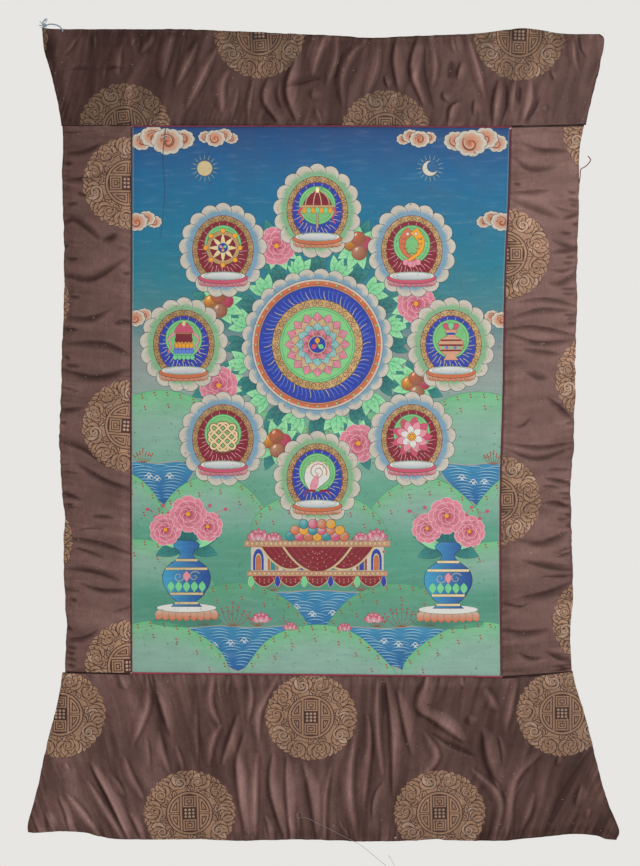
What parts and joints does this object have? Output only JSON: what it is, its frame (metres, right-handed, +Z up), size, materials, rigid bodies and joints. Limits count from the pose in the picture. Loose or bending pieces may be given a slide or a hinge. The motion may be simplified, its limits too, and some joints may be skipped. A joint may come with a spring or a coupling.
{
  "type": "thangka scroll painting",
  "caption": "Painted canvas sewn with thin piping into a gathered satin brocade mount that flares at its foot, hung flat on a wall.",
  "frame": {"origin": "middle of the mount's top edge, on the wall plane", "axes": "+Z up along the scroll, +Y into the wall, +X to the right seen from the front"},
  "size_m": [0.6482, 0.0107, 0.9053],
  "materials": {
    "canvas": "matt mineral paint on primed cotton",
    "piping": "dark red silk piping",
    "brocade": "brown satin with woven dull gold medallions",
    "string": "soft twisted string"
  },
  "bodies": {
    "root": {"painting": "canvas", "piping_top": "piping", "piping_bottom": "piping", "piping_left": "piping", "piping_right": "piping", "brocade_top": "brocade", "brocade_left": "brocade", "brocade_right": "brocade", "brocade_bottom": "brocade", "tie_cord": "string", "tie_knot": "string"}
  },
  "joints": []
}
